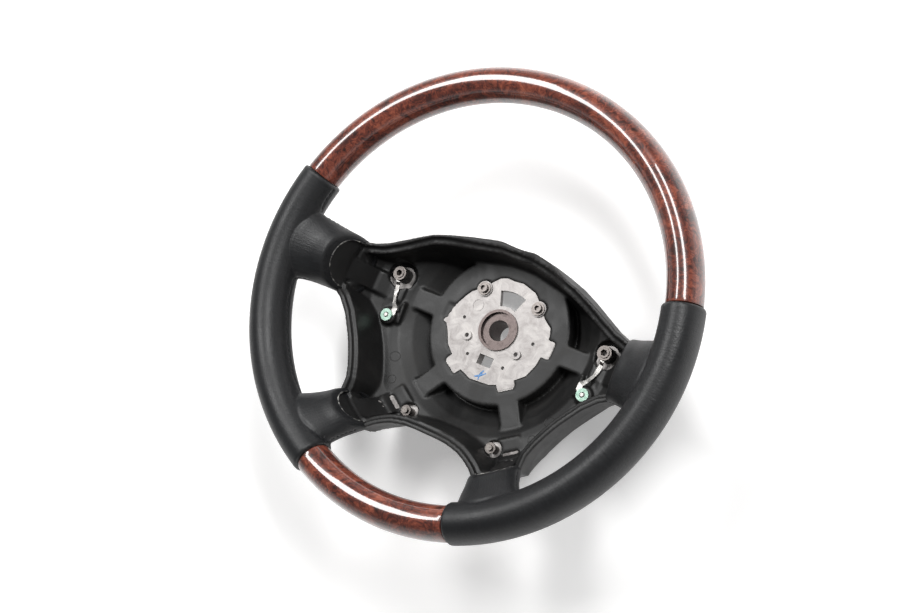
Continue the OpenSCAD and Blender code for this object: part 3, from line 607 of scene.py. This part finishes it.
def wood_tree():
    """Geometry nodes: one wooden shell as a section carried along an arc of the rim"""
    tree, given, section = new_group("wood_arc", {
        "Radius": "Float", "Start": "Float", "Sweep": "Float", "Steps": "Int", "Centre": "Vector"})
    arc = node(tree, "GeometryNodeCurveArc", {"Resolution": given["Steps"], "Radius": given["Radius"],
        "Start Angle": given["Start"], "Sweep Angle": given["Sweep"]}, mode="RADIUS")
    upright = node(tree, "GeometryNodeSetCurveNormal", {"Curve": arc.outputs["Curve"]}, mode="Z_UP")
    swept = node(tree, "GeometryNodeCurveToMesh", {
        "Curve": upright, "Profile Curve": section, "Fill Caps": True})
    moved = node(tree, "GeometryNodeTransform", {"Geometry": swept, "Translation": given["Centre"]})
    return end_group(tree, given, moved)


def stitch_tree():
    """Geometry nodes: stitches along a path, each one a short twist of thread lying in the seam"""
    tree, given, path = new_group("stitches", {"Pitch": "Float", "Length": "Float", "Thread": "Float"})
    dots = node(tree, "GeometryNodeCurveToPoints", {"Curve": path, "Length": given["Pitch"]}, mode="LENGTH")
    long_half = node(tree, "ShaderNodeMath", {0: given["Length"], 1: 0.5}, operation="MULTIPLY")
    thin_half = node(tree, "ShaderNodeMath", {0: given["Thread"], 1: 0.5}, operation="MULTIPLY")
    ball = node(tree, "GeometryNodeMeshUVSphere", {"Segments": 10, "Rings": 8, "Radius": 1.0})
    stretch = node(tree, "ShaderNodeCombineXYZ", {0: thin_half, 1: thin_half, 2: long_half})
    shaped = node(tree, "GeometryNodeTransform", {"Geometry": ball, "Scale": stretch})
    sewn = node(tree, "GeometryNodeInstanceOnPoints", {
        "Points": dots.outputs["Points"], "Instance": shaped, "Rotation": dots.outputs["Rotation"]})
    return end_group(tree, given, sewn)


def bead_tree():
    """Geometry nodes: an uneven bead along a path, with a point each 0.9 mm and lumps about 4 mm long"""
    tree, given, path = new_group("uneven_bead", {"Least": "Float", "Most": "Float", "Seed": "Float"})
    even = node(tree, "GeometryNodeResampleCurve", {"Curve": path, "Length": 0.0009}, mode="LENGTH")
    place = node(tree, "GeometryNodeInputPosition")
    lumps = node(tree, "ShaderNodeTexNoise", {
        "Vector": place, "W": given["Seed"], "Scale": 230, "Detail": 2}, noise_dimensions="4D")
    thick = node(tree, "ShaderNodeMapRange", {"Value": lumps, "From Min": 0.38, "From Max": 0.66,
        "To Min": given["Least"], "To Max": given["Most"]})
    ring = node(tree, "GeometryNodeCurvePrimitiveCircle", {"Resolution": 8, "Radius": 1.0}, mode="RADIUS")
    bead = node(tree, "GeometryNodeCurveToMesh", {"Curve": even, "Profile Curve": ring, "Scale": thick})
    return end_group(tree, given, bead)


def grown(name, tree, line, values, finish, closed=False):
    """Plain mesh piece that a node group makes from a line in metres and the given inputs"""
    drawn = line_object(line, closed)
    piece = mesh_object(name, [(0, 0, 0)], [])
    made = piece.modifiers.new("grown", "NODES")
    made.node_group = tree
    inputs = {**values, "Line": drawn, "Finish": finish}
    for item in tree.interface.items_tree:
        if item.item_type == "SOCKET" and item.in_out == "INPUT":
            made[item.identifier] = inputs[item.name]
    apply_modifiers(piece)
    drop(drawn)
    if len(piece.data.polygons) < 50:
        raise RuntimeError(f"{name}: its node group made no faces")
    return dress(piece, finish)


class WHEEL_OT_wood(bpy.types.Operator):
    """Builds the four lacquered wood shells as sections carried along the rim"""
    bl_idname = "wheel.wood"
    bl_label = "Wood shells"

    def execute(self, context):
        sizes, colours = context.scene.wheel_sizes, context.scene.wheel_colours
        finish = burl_wood_material(colours)
        tree = wood_tree()
        arcs = (("upper", 90, sizes.upper_half_angle), ("lower", -90, sizes.lower_half_angle))
        for place, middle, half in arcs:
            for side_name, side in (("front", 1), ("back", -1)):
                name = f"wood_{place}_{side_name}"
                section = self.half_section(side, sizes.wood_half_width, sizes.wood_half_height)
                piece = grown(f"{name}_lacquered", tree, section, {
                    "Radius": sizes.wood_radius, "Start": math.radians(middle) - half, "Sweep": 2 * half,
                    "Steps": int(2 * math.degrees(half) * sizes.wood_segments / 100),
                    "Centre": (0, RIM_RISE * MM, RIM_Z * MM)}, finish, closed=True)
                self.ease_ends(piece)
                dress(piece, finish, sharp=35)
                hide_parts(name)
                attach(piece, WHEEL)
        return {"FINISHED"}

    @staticmethod
    def half_section(side, half_w, half_h, n=40):
        """Front or back half of the wood section, with the hollow for the cast core, in metres"""
        core_w, core_h, corner = CORE_HALF_W * MM, CORE_HALF_H * MM, CORE_CORNER * MM
        turns = [math.pi * i / n for i in range(n + 1)]
        outer = [(half_w * math.cos(t), side * half_h * math.sin(t)) for t in turns]
        notch = [(-core_w, 0), (-core_w, side * (core_h - corner)), (-core_w + corner, side * core_h),
                 (core_w - corner, side * core_h), (core_w, side * (core_h - corner)), (core_w, 0)]
        return [(x, y, 0) for x, y in outer + notch]

    @staticmethod
    def ease_ends(piece):
        """Merges doubles, turns the faces outwards and eases the edge beside the leather"""
        shape = bmesh.new()
        shape.from_mesh(piece.data)
        bmesh.ops.remove_doubles(shape, verts=shape.verts, dist=1e-6)
        bmesh.ops.recalc_face_normals(shape, faces=shape.faces)
        centre = Vector((0, RIM_RISE * MM, RIM_Z * MM))
        edges = set()
        for cap in (f for f in shape.faces if len(f.verts) > 20):
            for e in cap.edges:
                middle = ((e.verts[0].co + e.verts[1].co) / 2 - centre) / MM
                out = math.hypot(middle.x, middle.y) - WOOD_R
                if (out / WOOD_HALF_W) ** 2 + (middle.z / WOOD_HALF_H) ** 2 > 0.9:
                    edges.add(e)
        bmesh.ops.bevel(shape, geom=list(edges), offset=WOOD_EASE * MM, segments=3, profile=0.5, affect="EDGES")
        shape.to_mesh(piece.data)
        shape.free()


class WHEEL_OT_leather(bpy.types.Operator):
    """Builds the leather of both sides, drawn over the rim and its two spokes"""
    bl_idname = "wheel.leather"
    bl_label = "Leather grips"

    def execute(self, context):
        sizes, colours = context.scene.wheel_sizes, context.scene.wheel_colours
        finish = leather_material(colours)
        solids = [loft(grip_rings(72))]
        for stations, reach, axis_y, turn in SPOKES.values():
            rings = [spoke_ring(s, reach, axis_y, 0, 0, 64) for s in smooth_line(stations, 6)]
            solids.append(loft(turned(rings, turn)))
        grip = join_solids("leather_right_drawn", solids)
        reskin(grip, sizes.leather_voxel, 6)
        self.settle(grip)
        self.sew(grip)
        self.open_ends(grip)
        dress(grip, finish, sharp=50)
        other = mirrored(grip, "leather_left_drawn")
        for piece, side in ((grip, "right"), (other, "left")):
            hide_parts(f"leather_grip_{side}")
            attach(piece, WHEEL)
        return {"FINISHED"}

    @staticmethod
    def settle(grip):
        """Puts the plain stretches of the rim exactly on its oval, and lets the skin run smoothly into the spokes"""
        co = points_of(grip) / MM
        x, y, z = co[:, 0], co[:, 1] - RIM_RISE, co[:, 2] - RIM_Z
        r = np.hypot(x, y)
        out = r - GRIP_R
        angle = np.degrees(np.arctan2(y, x))
        # Share of the oval's radius at which each point lies, and how near that is to 1
        share = np.sqrt((out / GRIP_HALF_W) ** 2 + (z / GRIP_HALF_H) ** 2)
        near = np.clip(1 - np.abs(share - 1) / 0.08, 0, 1)
        ends = np.minimum(angle - GRIP_FROM, GRIP_TO - angle)
        inside = np.clip((ends - 0.9) / 0.4, 0, 1)
        weight = (np.clip(near * 2, 0, 1) * inside)[:, None]
        scale = 1 / np.maximum(share, 0.2)
        unit = np.stack([x / r, y / r], 1)
        target = co.copy()
        target[:, :2] = unit * (GRIP_R + out * scale)[:, None]
        target[:, 1] += RIM_RISE
        target[:, 2] = RIM_Z + z * scale
        hold = 1 - weight[:, 0]
        set_points(grip, (co + (target - co) * weight) * MM)
        even_out(grip, 10, hold=np.clip(hold + 0.15, 0, 1))

    @staticmethod
    def sew(grip):
        """Presses the seam into the hide as a narrow groove"""
        tree = BVHTree.FromObject(grip, bpy.context.evaluated_depsgraph_get())
        lines = [on_skin(tree, stretch) for stretch in seam_lines()]
        dots = KDTree(sum(len(line) for line in lines))
        for i, dot in enumerate(p for line in lines for p, _ in line):
            dots.insert(dot, i)
        dots.balance()
        normals = np.empty(len(grip.data.vertices) * 3, np.float32)
        grip.data.vertex_normals.foreach_get("vector", normals)
        normals = normals.reshape(-1, 3)
        co = points_of(grip)
        for i, p in enumerate(co):
            off = dots.find(p)[2] / MM
            if off < SEAM_REACH:
                co[i] = p - normals[i] * (SEAM_DEPTH * math.exp(-(off / SEAM_WIDTH) ** 2)) * MM
        set_points(grip, co)

    @staticmethod
    def open_ends(grip):
        """Cuts the glued down opening at the end of each spoke, and the room inside its mouth"""
        solids = []
        for stations, reach, axis_y, turn in SPOKES.values():
            last = stations[-1]
            for gap, drop_top, depth in MOUTHS:
                rings = [spoke_ring((last[0] + step,) + last[1:], reach, axis_y, gap, drop_top, 48)
                         for step in (-depth, MOUTH_OUT)]
                solids.append(loft(turned(rings, turn)))
        cut(grip, join_solids("mouths", solids), "DIFFERENCE", overlapping=True)


def seam_point(spoke, side, depth):
    """Point of a spoke's widest line at a distance in from the rim's centre line, in mm"""
    stations, reach, axis_y, turn = SPOKES[spoke]
    rows = np.array(stations, float)
    _, top, bottom, below, above, _ = [np.interp(depth, rows[:, 0], rows[:, k]) for k in range(6)]
    half = above if side == 0 else -below
    return turned([[(reach - depth, axis_y + half, RIM_Z + (top + bottom) / 2)]], turn)[0][0]


def seam_lines():
    """The stretches of the right seam as points 1 mm apart, in mm"""
    lines = []
    inner = GRIP_R - GRIP_HALF_W
    for parts in SEAM_STRETCHES:
        stops = []
        for part in parts:
            if part[0] == "rim":
                _, first, last = part
                for angle in np.linspace(first, last, max(3, int(abs(last - first) / 2.5))):
                    c, s = math.cos(math.radians(angle)), math.sin(math.radians(angle))
                    stops.append((inner * c, RIM_RISE + inner * s, RIM_Z))
            else:
                spoke, side, first, last = part
                stops += [seam_point(spoke, side, depth) for depth in np.linspace(first, last, 4)]
        path = np.array(smooth_line(stops, 12))
        run = np.concatenate([[0], np.cumsum(np.linalg.norm(np.diff(path, axis=0), axis=1))])
        places = np.arange(0, run[-1], 1.0)
        lines.append(np.stack([np.interp(places, run, path[:, k]) for k in range(3)], 1))
    return lines


def on_skin(tree, line):
    """Nearest points of the skin to a line given in mm, with their normals"""
    return [tree.find_nearest(Vector(p) * MM)[:2] for p in line]


class WHEEL_OT_seams(bpy.types.Operator):
    """Sews the hide along its seam, and lays the glue along the cut edge at the end of each spoke"""
    bl_idname = "wheel.seams"
    bl_label = "Seams and glue"

    def execute(self, context):
        sizes, colours = context.scene.wheel_sizes, context.scene.wheel_colours
        thread, glue = thread_material(colours), glue_material()
        stitches, bead = stitch_tree(), bead_tree()
        skin = BVHTree.FromObject(bpy.data.objects["leather_right_drawn"], context.evaluated_depsgraph_get())
        sewn = []
        for line in seam_lines():
            path = [spot + normal * SEAM_DEPTH * 0.35 * MM for spot, normal in on_skin(skin, line)]
            sewn.append(grown("seam", stitches, path, {
                "Pitch": sizes.stitch_pitch, "Length": STITCH_LENGTH * MM, "Thread": THREAD_WIDTH * MM}, thread))
        beads = []
        for which, (stations, reach, axis_y, turn) in enumerate(SPOKES.values()):
            ring = spoke_ring(stations[-1], reach, axis_y, GLUE_GAP, GLUE_DROP, 96)
            ring = [p for p in ring if p[2] > RIM_Z - GLUE_LOW[which]]
            first = max(range(len(ring)), key=lambda i: math.dist(ring[i], ring[i - 1]))
            path = [Vector(p) * MM for p in turned([ring[first:] + ring[:first]], turn)[0]]
            beads.append(grown("edge", bead, path, {
                "Least": GLUE_LEAST * MM, "Most": GLUE_MOST * MM, "Seed": 2.0 + which}, glue))
        for solids, name in ((sewn, "stitches"), (beads, "glue_edge")):
            right = joined(solids, f"{name}_right")
            left = mirrored(right, f"{name}_left")
            for piece in (right, left):
                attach(piece, WHEEL)
        return {"FINISHED"}


class WHEEL_OT_foam(bpy.types.Operator):
    """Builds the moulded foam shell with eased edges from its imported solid"""
    bl_idname = "wheel.foam"
    bl_label = "Foam shell"

    def execute(self, context):
        sizes, colours = context.scene.wheel_sizes, context.scene.wheel_colours
        finish = foam_material(colours)
        bowl = self.cut_copy("bowl", "INTERSECT")
        cores = self.cut_copy("cores", "DIFFERENCE")
        reskin(bowl, sizes.foam_voxel, 5)
        self.round_dish(bowl)
        shell = joined([bowl, cores], "foam_shell_moulded")
        dress(shell, finish)
        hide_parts("foam_body")
        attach(shell, WHEEL)
        return {"FINISHED"}

    @staticmethod
    def cut_copy(name, operation):
        """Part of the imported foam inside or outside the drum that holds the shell"""
        copy = linked(name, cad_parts["foam_body"].data.copy())
        shape = bmesh.new()
        shape.from_mesh(copy.data)
        bmesh.ops.remove_doubles(shape, verts=shape.verts, dist=2e-6)
        shape.to_mesh(copy.data)
        shape.free()
        turns = [math.radians(a) for a in range(0, 360, 4)]
        rings = [[(DRUM_R * math.cos(t), DRUM_R * math.sin(t), z) for t in turns] for z in DRUM_SPAN]
        cut(copy, join_solids("drum", [loft(rings)]), operation)
        return copy

    @staticmethod
    def round_dish(bowl):
        """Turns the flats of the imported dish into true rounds, where the skin lies on it"""
        co = points_of(bowl) / MM
        r = np.hypot(co[:, 0], co[:, 1])
        step = 2 * math.pi / DISH_STEPS
        off = np.mod(np.arctan2(co[:, 1], co[:, 0]), step) - step / 2
        flat = r * np.cos(off) / math.cos(step / 2)
        line = np.array(DISH_FRONT)
        here, there = np.interp(flat, line[:, 0], line[:, 1]), np.interp(r, line[:, 0], line[:, 1])
        close = np.clip(1.5 - np.abs(co[:, 2] - here) / 0.8, 0, 1) * (r > DISH_FROM) * (r < DISH_TO)
        co[:, 2] += close * (there - here)
        set_points(bowl, co * MM)


class WHEEL_OT_marks(bpy.types.Operator):
    """Raises the plain rings that the mould left on the shell's floor, and brushes the inspection mark on the plate"""
    bl_idname = "wheel.marks"
    bl_label = "Mould rings and paint mark"

    def execute(self, context):
        bead = bead_tree()
        shell = bpy.data.objects["foam_shell_moulded"]
        skin = BVHTree.FromObject(shell, context.evaluated_depsgraph_get())
        solids = []
        for x, y, radius in MOULD_RINGS:
            for side in (-1, 1):
                ring = self.ring_on(skin, side * x, y, radius)
                solids.append(grown("ring", bead, ring, {
                    "Least": 0.28 * MM, "Most": 0.34 * MM, "Seed": 1.0}, shell.data.materials[0], closed=True))
        rings = joined(solids, "mould_rings")
        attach(rings, WHEEL)
        paint = paint_material(context.scene.wheel_colours)
        strokes = []
        for i, line in enumerate(PAINT_STROKES):
            path = [Vector((x, y, PLATE_TOP)) * MM for x, y in smooth_line(line, 6)]
            strokes.append(grown("stroke", bead, path, {
                "Least": 0.45 * MM, "Most": 0.95 * MM, "Seed": 4.0 + i}, paint))
        mark = joined(strokes, "paint_mark")
        co = points_of(mark)
        co[:, 2] = PLATE_TOP * MM + (co[:, 2] - PLATE_TOP * MM) * PAINT_FLATNESS
        set_points(mark, co)
        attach(mark, WHEEL)
        return {"FINISHED"}

    @staticmethod
    def ring_on(skin, x, y, radius, n=24, above=60):
        """Points of a ring dropped on the skin from a height in mm"""
        ring = []
        for i in range(n):
            turn = 2 * math.pi * i / n
            top = Vector((x + radius * math.cos(turn), y + radius * math.sin(turn), above)) * MM
            spot = skin.ray_cast(top, Vector((0, 0, -1)))[0]
            if spot is None:
                raise RuntimeError("a mould ring missed the shell's floor")
            ring.append(spot)
        return ring


class WHEEL_OT_metal(bpy.types.Operator):
    """Gives the cast plate, the boss, the posts, the contacts and the fasteners their finishes"""
    bl_idname = "wheel.metal"
    bl_label = "Metal and plastic finishes"

    def execute(self, context):
        colours = context.scene.wheel_colours
        cast = cast_material(colours)
        steel = steel_material("turned_steel", tuple(colours.steel), 0.3, 0.5)
        bolt = steel_material("blackened_screw_steel", shade("#6a6562"), 0.28, 0.45)
        thread = steel_material("threaded_stud_steel", shade("#7d7874"), 0.3, 0.48, pitch=0.8)
        bright = steel_material("tinned_spring_strip", tuple(colours.bright), 0.22, 0.36)
        plastic = plastic_material(colours)
        zinc = zinc_material(colours)
        finishes = {
            "armature": cast, "hub_insert": steel, "horn_insulator": plastic, "horn_spring": steel,
            "airbag_post": bolt, "contact_strip": bright, "contact_disc": zinc, "contact_rivet": bright,
            "lower_stud": thread, "stud_collar": bolt, "plate_screw": bolt, "plate_washer": bolt}
        for name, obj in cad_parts.items():
            stem = name.removesuffix("_left").removesuffix("_right")
            if stem in finishes:
                if obj.data.materials:
                    for i in range(len(obj.data.materials)):
                        obj.data.materials[i] = finishes[stem]
                else:
                    obj.data.materials.append(finishes[stem])
        return {"FINISHED"}


class WHEEL_OT_stage(bpy.types.Operator):
    """Sets the pale floor, the softboxes, the white room and the camera"""
    bl_idname = "wheel.stage"
    bl_label = "Stage"

    def execute(self, context):
        levels = context.scene.wheel_stage
        self.floor()
        for name, place, along_line, long_side, short_side, level in LAMPS:
            self.softbox(name, place, along_line, long_side, short_side, getattr(levels, level))
        world = bpy.data.worlds.new("white_room")
        world.use_nodes = True
        t = world.node_tree
        t.nodes.clear()
        # White walls at the horizon, a dim ceiling overhead
        look = node(t, "ShaderNodeTexCoord").outputs["Generated"]
        rise = node(t, "ShaderNodeSeparateXYZ", {0: look}).outputs["Z"]
        fade = node(t, "ShaderNodeMapRange", {
            "Value": rise, "From Min": 0.05, "From Max": 0.45, "To Min": levels.horizon, "To Max": levels.ceiling},
            interpolation_type="SMOOTHSTEP")
        room = node(t, "ShaderNodeBackground", {"Color": (1, 1, 1, 1), "Strength": fade})
        node(t, "ShaderNodeOutputWorld", {"Surface": room})
        context.scene.world = world
        context.scene.view_settings.view_transform = "Standard"
        self.camera(context.scene)
        return {"FINISHED"}

    @staticmethod
    def floor():
        """White paper, lifted where the camera sees it, also in gloss and through what is clear"""
        corners = [(x * FLOOR_HALF, y * FLOOR_HALF, 0) for x, y in ((-1, -1), (1, -1), (1, 1), (-1, 1))]
        ground = mesh_object("floor", corners, [[0, 1, 2, 3]])
        mat, t = new_material("white_paper_sweep")
        path = node(t, "ShaderNodeLightPath").outputs
        direct = node(t, "ShaderNodeMath", {0: path["Is Camera Ray"], 1: path["Is Glossy Ray"]}, operation="MAXIMUM")
        seen = node(t, "ShaderNodeMath", {
            0: direct, 1: path["Is Transmission Ray"]}, operation="MAXIMUM")
        paper = node(t, "ShaderNodeBsdfDiffuse", {"Color": PAPER})
        lift = node(t, "ShaderNodeEmission", {"Color": (1, 1, 1, 1), "Strength": PAPER_LIFT})
        lifted = node(t, "ShaderNodeAddShader", {0: paper, 1: lift})
        both = node(t, "ShaderNodeMixShader", {0: seen, 1: paper, 2: lifted})
        node(t, "ShaderNodeOutputMaterial", {"Surface": both})
        ground.data.materials.append(mat)

    @staticmethod
    def softbox(name, place, along_line, long_side, short_side, power):
        """Lamp that faces the target, with its long side as near as it can be to a direction"""
        lamp = bpy.data.lights.new(name, "AREA")
        lamp.shape = "RECTANGLE"
        lamp.size, lamp.size_y = long_side, short_side
        lamp.energy = power
        made = linked(name, lamp)
        made.location = place
        back = (Vector(place) - Vector(LAMP_TARGET)).normalized()
        right = Vector(along_line).normalized()
        right = (right - back * right.dot(back)).normalized()
        made.rotation_euler = Matrix((right, back.cross(right), back)).transposed().to_euler()

    @staticmethod
    def camera(scene):
        lens = bpy.data.cameras.new("camera")
        lens.lens, lens.sensor_width, lens.sensor_fit = LENS, SENSOR, "HORIZONTAL"
        made = linked("camera", lens)
        right = Vector(CAMERA_RIGHT).normalized()
        back = Vector(CAMERA_BACK)
        back = (back - right * back.dot(right)).normalized()
        turn = Matrix((right, back.cross(right), back)).transposed().to_4x4()
        made.matrix_world = Matrix.Translation(Vector(CAMERA_PLACE) * MM) @ turn
        scene.camera = made


class VIEW3D_PT_wheel(bpy.types.Panel):
    """Sizes, colours and steps of the wheel"""
    bl_label = "Steering Wheel"
    bl_idname = "VIEW3D_PT_wheel"
    bl_space_type = "VIEW_3D"
    bl_region_type = "UI"
    bl_category = "Wheel"

    def draw(self, context):
        scene = context.scene
        for group in (scene.wheel_sizes, scene.wheel_colours, scene.wheel_stage):
            box = self.layout.box()
            for name in group.__annotations__:
                box.prop(group, name)
        for step in STEPS:
            self.layout.operator(step.bl_idname, text=step.bl_label)


STEPS = (WHEEL_OT_wood, WHEEL_OT_leather, WHEEL_OT_seams, WHEEL_OT_foam, WHEEL_OT_marks, WHEEL_OT_metal,
         WHEEL_OT_stage)
GROUPS = (WheelSizes, WheelColours, WheelStage)


def register():
    for cls in GROUPS + STEPS + (VIEW3D_PT_wheel,):
        bpy.utils.register_class(cls)
    bpy.types.Scene.wheel_sizes = PointerProperty(type=WheelSizes)
    bpy.types.Scene.wheel_colours = PointerProperty(type=WheelColours)
    bpy.types.Scene.wheel_stage = PointerProperty(type=WheelStage)


def unregister():
    del bpy.types.Scene.wheel_stage
    del bpy.types.Scene.wheel_colours
    del bpy.types.Scene.wheel_sizes
    for cls in reversed(GROUPS + STEPS + (VIEW3D_PT_wheel,)):
        bpy.utils.unregister_class(cls)


def main():
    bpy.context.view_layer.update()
    register()
    bpy.ops.wheel.wood()
    bpy.ops.wheel.leather()
    bpy.ops.wheel.seams()
    bpy.ops.wheel.foam()
    bpy.ops.wheel.marks()
    bpy.ops.wheel.metal()
    bpy.ops.wheel.stage()


if __name__ == "__main__":
    main()
